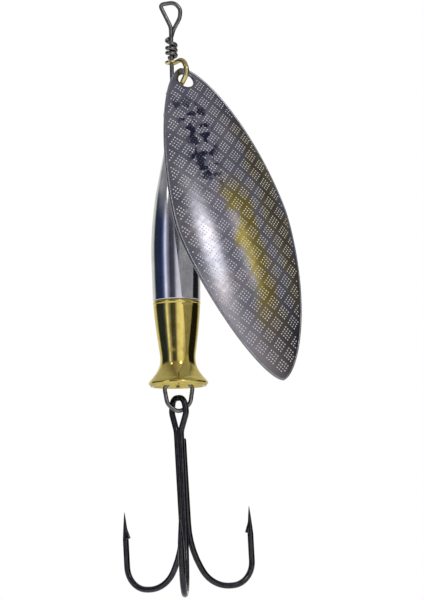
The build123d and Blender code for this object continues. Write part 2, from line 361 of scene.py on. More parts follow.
def skin(rings, closed_ends=True):
    """Vertices and faces of a tube over its rings, with a centre point at each closed end."""
    sides = len(rings[0])
    verts = [p for ring in rings for p in ring]
    faces = []
    for r in range(len(rings) - 1):
        for k in range(sides):
            a = r * sides + k
            b = r * sides + (k + 1) % sides
            faces.append((a, b, b + sides, a + sides))
    if closed_ends:
        for r, flip in ((0, True), (len(rings) - 1, False)):
            centre = sum(rings[r], Vector((0, 0, 0))) / sides
            verts.append(centre)
            hub = len(verts) - 1
            for k in range(sides):
                a = r * sides + k
                b = r * sides + (k + 1) % sides
                faces.append((b, a, hub) if flip else (a, b, hub))
    return verts, faces


def lathe(profile, sides):
    """A closed ring of (radius, z) points turned about Z."""
    verts = []
    faces = []
    count = len(profile)
    for k in range(sides):
        angle = 2 * math.pi * k / sides
        for radius, z in profile:
            verts.append(Vector((radius * math.cos(angle), radius * math.sin(angle), z)))
    for k in range(sides):
        for i in range(count):
            j = (i + 1) % count
            a = k * count + i
            b = k * count + j
            c = ((k + 1) % sides) * count + j
            d = ((k + 1) % sides) * count + i
            faces.append((a, d, c, b))
    return verts, faces


def eased_profile(points, steps=6):
    """A smooth curve through (radius, z) points, by Catmull and Rom's rule."""
    result = []
    for i in range(len(points) - 1):
        p0 = Vector(points[max(i - 1, 0)])
        p1 = Vector(points[i])
        p2 = Vector(points[i + 1])
        p3 = Vector(points[min(i + 2, len(points) - 1)])
        for step in range(steps):
            t = step / steps
            result.append(
                0.5
                * (
                    2 * p1
                    + (p2 - p0) * t
                    + (2 * p0 - 5 * p1 + 4 * p2 - p3) * t * t
                    + (3 * p1 - p0 - 3 * p2 + p3) * t * t * t
                )
            )
    result.append(Vector(points[-1]))
    return [(p[0], p[1]) for p in result]


def corner_arc(centre, radius, start, end, steps=6):
    """Points round an edge: angles in degrees from +radius towards +Z."""
    points = []
    for step in range(steps + 1):
        angle = math.radians(start + (end - start) * step / steps)
        points.append((centre[0] + radius * math.cos(angle), centre[1] + radius * math.sin(angle)))
    return points


def bore(bottom, top, chamfer):
    """The wire's bore from the bottom up, with its two chamfered edges."""
    wide = RUN_R + chamfer
    return [(wide, bottom), (RUN_R, bottom + chamfer), (RUN_R, top - chamfer), (wide, top)]


def make_object(name, verts, faces, materials, face_materials=None):
    mesh = bpy.data.meshes.new(name)
    mesh.from_pydata([v * MM for v in verts], [], faces)
    for material in materials:
        mesh.materials.append(material)
    if face_materials:
        mesh.polygons.foreach_set("material_index", face_materials)
    mesh.polygons.foreach_set("use_smooth", [True] * len(mesh.polygons))
    mesh.update()
    obj = bpy.data.objects.new(name, mesh)
    bpy.context.scene.collection.objects.link(obj)
    return obj


def recalculated(obj):
    """The mesh with all its faces turned outwards."""
    mesh = bmesh.new()
    mesh.from_mesh(obj.data)
    bmesh.ops.recalc_face_normals(mesh, faces=mesh.faces)
    mesh.to_mesh(obj.data)
    mesh.free()
    return obj


def crisp_borders(obj):
    """Edges between two materials shade sharply, so that neither side tilts the other's normals."""
    mesh = bmesh.new()
    mesh.from_mesh(obj.data)
    for edge in mesh.edges:
        if len({face.material_index for face in edge.link_faces}) > 1:
            edge.smooth = False
    mesh.to_mesh(obj.data)
    mesh.free()
    return obj


def placed(obj, body, slot, *nodes):
    """The piece rides on its body and, where nodes are named, stands for them."""
    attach(obj, body)
    if nodes:
        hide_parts(*nodes)
    return obj


# ---------------------------------------------------------------- materials


def mixed_colours(nodes, links, share, first, second):
    """A colour between two colours or sockets, by the share that a socket gives."""
    node = nodes.new("ShaderNodeMix")
    node.data_type = "RGBA"
    links.new(share, node.inputs[0])
    for socket, value in ((6, first), (7, second)):
        if hasattr(value, "links"):
            links.new(value, node.inputs[socket])
        else:
            node.inputs[socket].default_value = (*value, 1)
    return node.outputs[2]


class Shader:
    """A node material with a Principled shader, and short ways to add its textures."""

    def __init__(self, name, colour, metallic, roughness):
        self.material = bpy.data.materials.new(name)
        self.material.use_nodes = True
        self.nodes = self.material.node_tree.nodes
        self.links = self.material.node_tree.links
        self.bsdf = self.nodes["Principled BSDF"]
        self.bsdf.inputs["Base Color"].default_value = (*colour, 1)
        self.bsdf.inputs["Metallic"].default_value = metallic
        self.bsdf.inputs["Roughness"].default_value = roughness
        coordinates = self.nodes.new("ShaderNodeTexCoord")
        scale = self.nodes.new("ShaderNodeMapping")
        scale.inputs["Scale"].default_value = (1 / MM, 1 / MM, 1 / MM)
        self.links.new(coordinates.outputs["Object"], scale.inputs["Vector"])
        self.place = scale.outputs["Vector"]

    def stretched(self, scale):
        node = self.nodes.new("ShaderNodeMapping")
        node.inputs["Scale"].default_value = scale
        self.links.new(self.place, node.inputs["Vector"])
        return node.outputs["Vector"]

    def noise(self, scale, detail=4.0, vector=None):
        node = self.nodes.new("ShaderNodeTexNoise")
        node.inputs["Scale"].default_value = scale
        node.inputs["Detail"].default_value = detail
        self.links.new(vector or self.place, node.inputs["Vector"])
        return node.outputs["Fac"]

    def ramp(self, value, stops):
        node = self.nodes.new("ShaderNodeValToRGB")
        fill_ramp(node.color_ramp, stops)
        self.links.new(value, node.inputs["Fac"])
        return node.outputs["Color"]

    def band(self, value, edges, strength=1):
        """Full between the two inner edges, and fading to none at the outer ones."""
        levels = (0, strength, strength, 0)
        return self.ramp(value, [(edge, grey(level)) for edge, level in zip(edges, levels)])

    def spread(self, value, low, high, to_low, to_high):
        node = self.nodes.new("ShaderNodeMapRange")
        node.inputs["From Min"].default_value = low
        node.inputs["From Max"].default_value = high
        node.inputs["To Min"].default_value = to_low
        node.inputs["To Max"].default_value = to_high
        self.links.new(value, node.inputs["Value"])
        return node.outputs["Result"]

    def mixed(self, share, first, second):
        return mixed_colours(self.nodes, self.links, share, first, second)

    def sum(self, first, second):
        node = self.nodes.new("ShaderNodeMath")
        node.operation = "ADD"
        self.links.new(first, node.inputs[0])
        self.links.new(second, node.inputs[1])
        return node.outputs["Value"]

    def paint(self, colour):
        self.links.new(colour, self.bsdf.inputs["Base Color"])

    def roughen(self, value):
        self.links.new(value, self.bsdf.inputs["Roughness"])

    def bump(self, height, strength, distance):
        node = self.nodes.new("ShaderNodeBump")
        node.inputs["Strength"].default_value = strength
        node.inputs["Distance"].default_value = distance * MM
        self.links.new(height, node.inputs["Height"])
        self.links.new(node.outputs["Normal"], self.bsdf.inputs["Normal"])


def fill_ramp(ramp, stops):
    """Stops of (position, colour), in order."""
    while len(ramp.elements) > 1:
        ramp.elements.remove(ramp.elements[-1])
    ramp.elements[0].position = stops[0][0]
    ramp.elements[0].color = (*stops[0][1], 1)
    for position, colour in stops[1:]:
        element = ramp.elements.new(position)
        element.color = (*colour, 1)


def grey(value):
    return (value, value, value)


def wire_material():
    shader = Shader("wire_steel", (0.22, 0.21, 0.21), 1.0, 0.2)
    mottled = shader.noise(1.6, 5)
    shader.paint(shader.ramp(mottled, [(0.3, (0.15, 0.145, 0.145)), (0.7, (0.34, 0.33, 0.32))]))
    shader.roughen(shader.spread(shader.noise(3.0), 0.3, 0.7, 0.12, 0.24))
    shader.bump(shader.noise(9.0, 3), 0.08, 0.01)
    return shader.material


def hook_material():
    shader = Shader("hook_black", (0.03, 0.03, 0.036), 1.0, 0.18)
    mottled = shader.noise(1.2, 5)
    shader.paint(shader.ramp(mottled, [(0.35, (0.018, 0.018, 0.024)), (0.7, (0.055, 0.052, 0.062))]))
    shader.roughen(shader.spread(shader.noise(4.0), 0.3, 0.7, 0.12, 0.24))
    shader.bump(shader.noise(6.0, 4), 0.08, 0.01)
    shader.bsdf.inputs["Coat Weight"].default_value = 0.8
    shader.bsdf.inputs["Coat Roughness"].default_value = 0.08
    return shader.material


def braze_material():
    shader = Shader("braze", (0.16, 0.15, 0.15), 1.0, 0.35)
    shader.paint(shader.ramp(shader.noise(2.5), [(0.35, (0.08, 0.075, 0.08)), (0.7, (0.26, 0.24, 0.22))]))
    shader.bump(shader.noise(5.0, 5), 0.6, 0.05)
    return shader.material


def brass_material(name, bright, dull, roughness, grain=8.0):
    shader = Shader(name, bright, 1.0, roughness)
    shader.paint(shader.ramp(shader.noise(0.55, 6), [(0.35, dull), (0.62, bright)]))
    shader.roughen(shader.spread(shader.noise(1.8), 0.3, 0.7, roughness * 0.75, roughness * 1.5))
    turned = shader.stretched((0.5, 0.5, grain))
    shader.bump(shader.noise(1.0, 3, turned), 0.12, 0.01)
    return shader.material


def body_material():
    shader = Shader("body_chrome", (0.80, 0.80, 0.83), 1.0, 0.09)
    shader.paint(shader.ramp(shader.noise(0.35, 6), [(0.35, (0.68, 0.68, 0.74)), (0.65, (0.86, 0.86, 0.88))]))
    shader.roughen(shader.spread(shader.noise(1.5, 6), 0.3, 0.7, 0.05, 0.15))
    turned = shader.stretched((0.35, 0.35, 5.0))
    shader.bump(shader.noise(1.0, 4, turned), 0.10, 0.012)
    return shader.material


def blade_coordinates(shader, plane):
    """Places the shader's textures in the blade's own frame and returns its across and down shares."""
    across = shader.nodes.new("ShaderNodeVectorMath")
    across.operation = "DOT_PRODUCT"
    across.inputs[1].default_value = plane.across
    shader.links.new(shader.place, across.inputs[0])
    along = shader.nodes.new("ShaderNodeVectorMath")
    along.operation = "DOT_PRODUCT"
    along.inputs[1].default_value = plane.up
    shader.links.new(shader.place, along.inputs[0])
    flat = shader.nodes.new("ShaderNodeCombineXYZ")
    shader.links.new(across.outputs["Value"], flat.inputs["X"])
    shader.links.new(along.outputs["Value"], flat.inputs["Y"])
    shader.place = flat.outputs["Vector"]
    centre = plane.origin.dot(plane.across)
    top = plane.origin.dot(plane.up) + BLADE_HOLE_FROM_TOP
    half = BLADE_WIDTH / 2
    sideways = shader.spread(across.outputs["Value"], centre - half, centre + half, 0, 1)
    down = shader.spread(along.outputs["Value"], top - BLADE_LENGTH, top, 1, 0)
    return sideways, down


def blade_tone(shader, sideways, down, plate, reflection_colour, shade_colour):
    """The plate's tone: a warm painted reflection down the middle and along the right edge, dark marks above
    it and painted shade that darkens the right side.
    """
    wander = shader.spread(shader.noise(0.16, 3), 0.3, 0.7, -0.07, 0.07)
    wavy = shader.sum(sideways, wander)
    # Painted reflection: a warm band down the middle and a weaker one along the right edge.
    middle_reflection = shader.mixed(shader.band(wavy, WARM_REFLECTION_ACROSS), grey(0), shader.band(down, WARM_REFLECTION_DOWN))
    edge_across = shader.band(wavy, EDGE_REFLECTION_ACROSS, EDGE_REFLECTION_STRENGTH)
    edge_reflection = shader.mixed(edge_across, grey(0), shader.band(down, EDGE_REFLECTION_DOWN))
    painted_reflection = shader.mixed(edge_reflection, middle_reflection, grey(1))
    marks_across = shader.band(wavy, MARKS_ACROSS)
    marks_down = shader.band(down, MARKS_DOWN)
    patchy = shader.ramp(shader.noise(0.5, 2), [(0.50, grey(0)), (0.54, grey(0.9))])
    marks = shader.mixed(marks_across, grey(0), shader.mixed(marks_down, grey(0), patchy))
    # Painted shade: the right side is darkened where the turned blade catches less light.
    painted_right_shade = shader.ramp(wavy, [(0.60, grey(0)), (0.90, grey(0.75))])
    tone = shader.mixed(painted_right_shade, plate, shade_colour)
    tone = shader.mixed(painted_reflection, tone, reflection_colour)
    return shader.mixed(marks, tone, MARKS_COLOUR)


def blade_face_material(plane):
    """Nickel plate with a warm painted reflection that runs down the blade's middle, painted shade on its
    right side, and dark marks above it.
    """
    shader = Shader("blade_face", (0.3, 0.3, 0.32), 1.0, 0.30)
    sideways, down = blade_coordinates(shader, plane)
    plate = shader.ramp(
        shader.noise(0.14, 3),
        [(0.3, (0.20, 0.20, 0.235)), (0.5, (0.27, 0.265, 0.285)), (0.7, (0.34, 0.31, 0.325))],
    )
    # The warm colour passed here is a painted reflection, and the dark grey one is painted shade.
    shader.paint(blade_tone(shader, sideways, down, plate, (0.30, 0.24, 0.07), (0.20, 0.195, 0.20)))
    shader.roughen(shader.spread(shader.noise(0.9, 6), 0.3, 0.7, 0.13, 0.21))
    shader.bump(shader.noise(2.2, 5), 0.06, 0.02)
    return shader.material


def blade_dot_material(plane):
    """The dots' tops, painted brighter as a highlight that they catch, which share the blade's painted
    reflection and painted shade.
    """
    shader = Shader("blade_dots", (0.6, 0.6, 0.62), 0.3, 0.35)
    sideways, down = blade_coordinates(shader, plane)
    # Painted highlight: the dots' colours are far lighter than the plate's, for the light that the raised
    # tops catch.
    plate = shader.ramp(
        shader.noise(0.14, 3),
        [(0.3, (0.70, 0.70, 0.75)), (0.5, (0.76, 0.75, 0.78)), (0.7, (0.80, 0.77, 0.78))],
    )
    # Its warm colour is a painted reflection, and its grey one is painted shade.
    shader.paint(blade_tone(shader, sideways, down, plate, (0.88, 0.82, 0.58), (0.62, 0.62, 0.62)))
    shader.roughen(shader.spread(shader.noise(2.0), 0.3, 0.7, 0.2, 0.4))
    return shader.material


def bright_nickel_material(name, colour, roughness):
    shader = Shader(name, colour, 1.0, roughness)
    dark = tuple(c * 0.8 for c in colour)
    shader.paint(shader.ramp(shader.noise(0.8, 4), [(0.35, dark), (0.6, colour)]))
    shader.roughen(shader.spread(shader.noise(2.0), 0.3, 0.7, roughness * 0.7, roughness * 1.4))
    return shader.material


# ---------------------------------------------------------------- pieces


def make_main_wire(material):
    """One wire: the cut end of the wrap, the turns, the eye, the shaft, the open loop and its tail."""
    path = []
    for step in range(round((TIGHT_TURNS + LOOSE_TURNS) * WRAP_STEPS) + 1):
        climbed = step / WRAP_STEPS
        tight_left = max(0.0, TIGHT_TURNS - climbed)
        loose = max(0.0, climbed - TIGHT_TURNS)
        z = TIGHT_TOP_Z - TIGHT_PITCH * tight_left + LOOSE_PITCH * loose
        path.append(polar(WRAP_START_AZIMUTH - 360 * climbed, WRAP_R, z))
    loop = [
        (0, 0, LOOP_TOP_Z),
        (LOOP_SHOULDER_X, 0, LOOP_SHOULDER_Z),
        (LOOP_SIDE_X, 0, LOOP_SIDE_Z),
        (0, 0, LOOP_BOTTOM_Z - LOOP_CORNER_DROP),
        (-LOOP_SIDE_X, 0, LOOP_SIDE_Z),
        (-LOOP_SHOULDER_X, 0, LOOP_SHOULDER_Z),
        (TAIL_X, 0, TAIL_BEND_Z),
        (TAIL_X, 0, TAIL_TOP_Z),
    ]
    path += rounded_path([path[-1]] + EYE_CORNERS + loop, EYE_RADII + LOOP_RADII)[1:]
    path = relaxed(resampled(path, 0.14), 3)

    def radius_at(done, left):
        end = min(done, left)
        return WIRE_R * min(1.0, WIRE_END_SHARE + end * WIRE_END_SLOPE)

    verts, faces = skin(tube_rings(path, radius_at, 20))
    return placed(make_object("main_wire_bent", verts, faces, [material]), "shaft", "wire_steel", "main_wire")


def make_clevis(material):
    """A brass stirrup: a strip that is round at the bow and pressed flat into two drilled ears."""
    corners = [
        polar(CLEVIS_AZIMUTH, EAR_R / 2, UPPER_EAR_Z - BOW_END_INSET),
        polar(CLEVIS_AZIMUTH, BOW_SHOULDER_R, BOW_SHOULDER_Z),
        polar(CLEVIS_AZIMUTH, BOW_REACH, BOW_REACH_Z),
        polar(CLEVIS_AZIMUTH, BOW_FOOT_R, BOW_FOOT_Z),
        polar(CLEVIS_AZIMUTH, EAR_R / 2, BOW_FOOT_Z),
    ]
    path = resampled(rounded_path(corners, BOW_RADII), 0.1)
    path = relaxed(path, 6)

    def radius_at(done, left):
        middle = min(done, left) / (0.5 * (done + left))
        return CLEVIS_WIRE_R * (BOW_END_SHARE + BOW_SWELL * math.sin(math.pi / 2 * middle))

    verts, faces = skin(tube_rings(path, radius_at, 24))
    for ear_z in (UPPER_EAR_Z, LOWER_EAR_Z):
        half = EAR_THICKNESS / 2
        edge_r = EAR_R - EAR_EDGE_R
        profile = corner_arc((edge_r, ear_z + half - EAR_EDGE_R), EAR_EDGE_R, 90, 0)
        profile += corner_arc((edge_r, ear_z - half + EAR_EDGE_R), EAR_EDGE_R, 0, -90)
        profile += bore(ear_z - half, ear_z + half, EAR_CHAMFER)
        ear_verts, ear_faces = lathe(profile, 56)
        base = len(verts)
        verts += ear_verts
        faces += [tuple(i + base for i in face) for face in ear_faces]
    obj = recalculated(make_object("clevis_stirrup", verts, faces, [material]))
    return placed(obj, "clevis", "clevis_brass", "clevis")


class BladePlane:
    """The blade's frame: origin at the hole, across to the right, up its length, out of its crown."""

    def __init__(self):
        lean = math.radians(BLADE_LEAN)
        tilt = math.radians(BLADE_TILT)
        roll = math.radians(BLADE_ROLL)
        across = Vector((math.cos(lean), 0, math.sin(lean)))
        down = Vector((math.sin(lean), 0, -math.cos(lean))) * math.cos(tilt)
        down += Vector((0, -math.sin(tilt), 0))
        out = down.cross(across)
        across = across * math.cos(roll) - out * math.sin(roll)
        self.across = across
        self.up = -down
        self.out = down.cross(across)
        crossing = polar(CLEVIS_AZIMUTH, BOW_CROSS_R, BOW_CROSS_Z)
        self.origin = crossing + across * HOLE_SHIFT_ACROSS
        half = BLADE_LENGTH / 2
        self.middle = BLADE_HOLE_FROM_TOP - half
        drop = (half - BLADE_HOLE_FROM_TOP) ** 2 / (2 * DISH_RADIUS_ALONG)
        self.crown = drop + BLADE_THICKNESS / 2

    def crown_height(self, x, y):
        """The outer face's height over the plane at a point of the flat outline."""
        section = math.sqrt(DISH_RADIUS_ACROSS**2 - x * x) - DISH_RADIUS_ACROSS
        reach = DISH_RADIUS_ALONG + section
        return self.crown - DISH_RADIUS_ALONG + math.sqrt(reach**2 - (y - self.middle) ** 2)

    def place(self, x, y, z):
        return self.origin + self.across * x + self.up * y + self.out * z


def half_width(from_top):
    """Half the blade's width at a distance from its top end."""
    half = BLADE_LENGTH / 2
    away = min(1.0, abs(from_top - half) / half)
    fullness = OUTLINE_TOP_FULLNESS if from_top < half else OUTLINE_TIP_FULLNESS
    return BLADE_WIDTH / 2 * (1 - away**OUTLINE_POWER) ** fullness


def blade_outline(count):
    """Evenly spaced points round the blade, anticlockwise from its top end."""
    right = []
    fine = OUTLINE_FINE_STEPS
    for step in range(fine + 1):
        from_top = BLADE_LENGTH * (1 - math.cos(math.pi * step / fine)) / 2
        right.append(Vector((half_width(from_top), BLADE_HOLE_FROM_TOP - from_top, 0)))
    left = [Vector((-p.x, p.y, 0)) for p in reversed(right[1:-1])]
    ring = [Vector((-p.x, p.y, 0)) for p in right] + [Vector((-p.x, p.y, 0)) for p in left]
    ring.append(ring[0])
    even = relaxed(resampled(ring, OUTLINE_FINE_STEP), 2)
    points = resampled(even, BLADE_LENGTH * 2.2 / count)[:-1]
    return [Vector((p.x, p.y)) for p in points]


def inset(loop, distance):
    """A closed loop moved inwards along its own normals."""
    result = []
    count = len(loop)
    for i, point in enumerate(loop):
        along = (loop[(i + 1) % count] - loop[i - 1]).normalized()
        result.append(point + Vector((-along.y, along.x)) * distance)
    return result


def dot_centres():
    """The places of the embossed dots, clear of the rim and of the hole."""
    step_a = DIAMOND_STEP_A / DOTS_PER_STEP
    step_b = DIAMOND_STEP_B / DOTS_PER_STEP
    start = Vector((LATTICE_SHIFT, BLADE_HOLE_FROM_TOP - BLADE_LENGTH / 2))
    centres = []
    for i in range(-LATTICE_REACH, LATTICE_REACH):
        if i % DOTS_PER_STEP == 0:
            continue
        for j in range(-LATTICE_REACH, LATTICE_REACH):
            if j % DOTS_PER_STEP == 0:
                continue
            point = start + step_a * i + step_b * j
            from_top = BLADE_HOLE_FROM_TOP - point.y
            if not DOT_TOP_MARGIN <= from_top <= BLADE_LENGTH - DOT_TIP_MARGIN:
                continue
            change = half_width(from_top + SLOPE_STEP) - half_width(from_top - SLOPE_STEP)
            slant = math.hypot(1, change / (2 * SLOPE_STEP))
            room = (half_width(from_top) - abs(point.x)) / slant
            if room >= DOT_EDGE_MARGIN and point.length >= BLADE_HOLE_R + DOT_HOLE_MARGIN:
                centres.append(point)
    return centres


def leaf_fill(margin):
    """Evenly spread points of the flat leaf, clear of its border, its ends and its hole."""
    points = []
    rows = int(BLADE_LENGTH / FILL_STEP)
    for row in range(1, rows):
        from_top = BLADE_LENGTH * row / rows
        wide = half_width(from_top) - margin
        if wide < 0.5:
            continue
        columns = max(1, int(2 * wide / FILL_STEP))
        for column in range(columns + 1):
            point = Vector((-wide + 2 * wide * column / columns, BLADE_HOLE_FROM_TOP - from_top))
            if point.length > BLADE_HOLE_R + HOLE_FILL_MARGIN:
                points.append(point)
    return points


def off_the_dots(point, plane):
    """True for a point on a flat band or between two rows of dots."""
    step = point - Vector((LATTICE_SHIFT, plane.middle))
    a, b = DIAMOND_STEP_A / DOTS_PER_STEP, DIAMOND_STEP_B / DOTS_PER_STEP
    det = a.x * b.y - a.y * b.x
    i = (step.x * b.y - step.y * b.x) / det
    j = (a.x * step.y - a.y * step.x) / det
    return max(abs(i - round(i)), abs(j - round(j))) > BAND_CLEARANCE


def leaf_triangles(points, count, border, hole_border):
    """Triangles over the flat leaf, kept by where their middles lie; slivers stay along the hole's edge."""
    edges = [(k, (k + 1) % count) for k in range(count)]
    edges += [(count + k, count + (k + 1) % HOLE_POINTS) for k in range(HOLE_POINTS)]
    flat, _, triangles, origins, _, _ = geometry.delaunay_2d_cdt(points, edges, [], 0, 1e-5)
    home = [origin[0] for origin in origins]
    kept = []
    for triangle in triangles:
        middle = sum((flat[k] for k in triangle), Vector((0, 0))) / 3
        if middle.length < BLADE_HOLE_R + hole_border:
            continue
        if all(home[k] < count for k in triangle):
            from_top = min(max(BLADE_HOLE_FROM_TOP - middle.y, 0), BLADE_LENGTH)
            if abs(middle.x) > half_width(from_top) - border:
                continue
        kept.append(triangle)
    return flat, home, kept


def make_blade(plane, materials):
    """The dished leaf with its rolled rim, its hole, and its field of embossed dots.

    Its skin is closed except at the stray slivers that leaf_triangles leaves along the hole's edge.
    """
    outline = blade_outline(OUTLINE_POINTS)
    count = len(outline)
    hole = []
    for k in range(HOLE_POINTS):
        angle = 2 * math.pi * k / HOLE_POINTS
        hole.append(Vector((math.cos(angle), math.sin(angle))))

    def rim_at(depth):
        return inset(outline, depth)

    def hole_at(depth):
        return [p * (BLADE_HOLE_R + depth) for p in hole]

    points = rim_at(RIM_WIDTH) + hole_at(HOLE_BORDER)
    heights = [0.0] * len(points)
    dot_index = {}
    for number, centre in enumerate(dot_centres()):
        for ring, lift in DOT_RINGS:
            for k in range(DOT_SIDES):
                angle = 2 * math.pi * (k + 0.5 * (ring < 1)) / DOT_SIDES
                dot_index[len(points)] = number
                points.append(centre + Vector((math.cos(angle), math.sin(angle))) * (DOT_R * ring))
                heights.append(DOT_HEIGHT * lift)
        dot_index[len(points)] = number
        points.append(centre)
        heights.append(DOT_HEIGHT)
    for point in leaf_fill(FRONT_FILL_MARGIN):
        if off_the_dots(point, plane):
            points.append(point)
            heights.append(0.0)

    verts = []
    faces = []
    slots = []

    def add(point, depth):
        verts.append(plane.place(point.x, point.y, plane.crown_height(point.x, point.y) - depth))
        return len(verts) - 1

    flat, home, triangles = leaf_triangles(points, count, FRONT_CLEARANCE, HOLE_BORDER - HOLE_SLIVER)
    front = [add(p, -heights[home[k]]) for k, p in enumerate(flat)]
    at = {home[k]: front[k] for k in range(len(flat))}
    for triangle in triangles:
        faces.append(tuple(front[k] for k in triangle))
        dots = {dot_index.get(home[k]) for k in triangle}
        slots.append(DOT_SLOT if len(dots) == 1 and None not in dots else FACE_SLOT)

    def edge_rings(previous, loop_at, steps, slot):
        for offset, depth in steps:
            current = [add(p, depth) for p in loop_at(offset)]
            for k in range(len(current)):
                n = (k + 1) % len(current)
                faces.append((previous[k], previous[n], current[n], current[k]))
                slots.append(slot)
            previous = current
        return previous

    thick = BLADE_THICKNESS
    rim_steps = [(0.26, -0.05), (0.16, -0.075), (0.06, -0.03), (0.0, 0.12), (0.0, thick - 0.2)]
    rim_steps += [(0.06, thick - 0.05), (BACK_BORDER, thick)]
    hole_steps = [(0.12, 0.02), (0.04, 0.07), (0.0, 0.17), (0.0, thick - 0.17)]
    hole_steps += [(0.05, thick - 0.05), (BACK_HOLE_BORDER, thick)]
    back_rim = edge_rings([at[k] for k in range(count)], rim_at, rim_steps, RIM_SLOT)
    hole_ids = [at[count + k] for k in range(HOLE_POINTS)]
    back_hole = edge_rings(hole_ids, hole_at, hole_steps, FACE_SLOT)

    border = rim_at(BACK_BORDER) + hole_at(BACK_HOLE_BORDER)
    points = border + leaf_fill(BACK_FILL_MARGIN)
    flat, home, triangles = leaf_triangles(points, count, BACK_CLEARANCE, BACK_HOLE_BORDER - HOLE_SLIVER)
    border_ids = back_rim + back_hole
    ids = [border_ids[home[k]] if home[k] < len(border) else add(p, thick) for k, p in enumerate(flat)]
    for triangle in triangles:
        faces.append(tuple(ids[k] for k in reversed(triangle)))
        slots.append(BACK_SLOT)

    obj = make_object("blade_leaf", verts, faces, materials, slots)
    return placed(crisp_borders(recalculated(obj)), "blade", "blade_nickel", "blade")


def make_bead(name, node, body, radius, material):
    """A drilled bead with flattened, slightly rounded ends, filling its CAD solid's height."""
    low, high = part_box(node)
    bottom, top = low[2] / MM, high[2] / MM
    middle = (bottom + top) / 2
    half = (top - bottom) / 2
    limit = math.degrees(math.asin(min(0.999, half / radius))) - 3
    outer = corner_arc((0, middle), radius, limit, -limit, 28)
    profile = outer + [(outer[-1][0] - BEAD_FLAT_INSET, bottom)]
    profile += bore(bottom, top, BEAD_CHAMFER)
    profile.append((outer[0][0] - BEAD_FLAT_INSET, top))
    verts, faces = lathe(profile, 64)
    return placed(recalculated(make_object(name, verts, faces, [material])), body, "bead_brass", node)


def make_body(material):
    """The torpedo weight: an eased nose and flanks, a rounded foot and the wire's bore."""
    low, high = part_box("body")
    bottom, top = low[2] / MM, high[2] / MM
    nose = (BODY_NOSE_R + 0.15, top - 0.15)
    foot = (BODY_FOOT_R, bottom + BODY_FOOT_EDGE_R + 0.15)
    profile = [(BODY_NOSE_R, top)] + eased_profile([nose] + BODY_SHOULDERS + [foot], 8)
    edge = (BODY_FOOT_R - BODY_FOOT_EDGE_R, bottom + BODY_FOOT_EDGE_R)
    profile += corner_arc(edge, BODY_FOOT_EDGE_R, 0, -90)
    profile += bore(bottom, top, BORE_CHAMFER)
    verts, faces = lathe(profile, 144)
    obj = recalculated(make_object("body_torpedo", verts, faces, [material]))
    return placed(obj, "body", "body_chrome", "body")


def make_bell(material):
    """The bell: a grooved top edge, an eased skirt with a round lip, the loop's chamber and the bore."""
    low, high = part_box("bell")
    bottom, top = low[2] / MM, high[2] / MM
    edge = (BELL_TOP_R - BELL_TOP_EDGE_R, top - BELL_TOP_EDGE_R)
    profile = corner_arc(edge, BELL_TOP_EDGE_R, 90, 0)
    profile += [(4.66, top - 0.5), (4.56, top - 0.62), (4.58, top - 0.8)]
    profile += eased_profile([(4.6, top - 1.0)] + BELL_SKIRT, 8)
    profile += corner_arc(BELL_LIP, BELL_LIP_R, 55, -70, 10)
    profile += [(5.45, bottom + 0.02), (5.0, bottom), (4.86, bottom + 0.1)]
    profile += eased_profile(BELL_THROAT, 6)
    profile.append((BELL_CHAMBER_R, BELL_CHAMBER_TOP_Z - BELL_CHAMBER_EDGE))
    profile.append((BELL_CHAMBER_R - BELL_CHAMBER_EDGE, BELL_CHAMBER_TOP_Z))
    profile += bore(BELL_CHAMBER_TOP_Z, top, BELL_BORE_CHAMFER)
    verts, faces = lathe(profile, 144)
    obj = recalculated(make_object("bell_skirt", verts, faces, [material]))
    return placed(obj, "bell", "bell_brass", "bell")


def hung(points):
    """The treble hangs on the loop with a slight lean, and its bends swing back a little."""
    lean = Matrix.Rotation(math.radians(-TREBLE_LEAN), 3, "Y")
    turn = Matrix.Rotation(math.radians(TREBLE_TIP_BACK), 3, "X") @ lean
    pivot = Vector((0, 0, LOOP_BOTTOM_Z))
    return [pivot + turn @ (p - pivot) for p in points]


def hook_corners(azimuth, shank_r=STRAND_R):
    """The corners of one hook, from the start of its bend to the tip of its point."""
    return [
        polar(azimuth, shank_r, BEND_START_Z),
        polar(azimuth, BEND_KNEE_R, BEND_BOTTOM_Z),
        polar(azimuth, POINT_R, BEND_BOTTOM_Z),
        polar(azimuth, POINT_R, POINT_TIP_Z),
    ]


def barb_on():
    """How far a barb stands out of the wire at a point of a hook's surface."""

    def bulge(centre, out):
        if not BARB_BOTTOM_Z <= centre.z <= BARB_TOP_Z or math.hypot(centre.x, centre.y) < POINT_R * 0.8:
            return 0.0
        inward = Vector((-centre.x, -centre.y, 0)).normalized()
        facing = max(0.0, out.dot(inward))
        share = (BARB_TOP_Z - centre.z) / (BARB_TOP_Z - BARB_BOTTOM_Z)
        return BARB_REACH * share * facing**14

    return bulge


def pointed(both_ends):
    """The wire's radius: full along the wire and tapering to a needle point."""
    taper = POINT_TIP_Z - POINT_BASE_Z

    def radius_at(done, left):
        tip = min(done, left) if both_ends else left
        radius = HOOK_WIRE_R
        if tip < taper:
            radius = 0.03 + (HOOK_WIRE_R - 0.03) * (tip / taper) ** 0.85
        if not both_ends and done < 0.3:
            radius *= 0.75 + 0.25 * done / 0.3
        return radius

    return radius_at


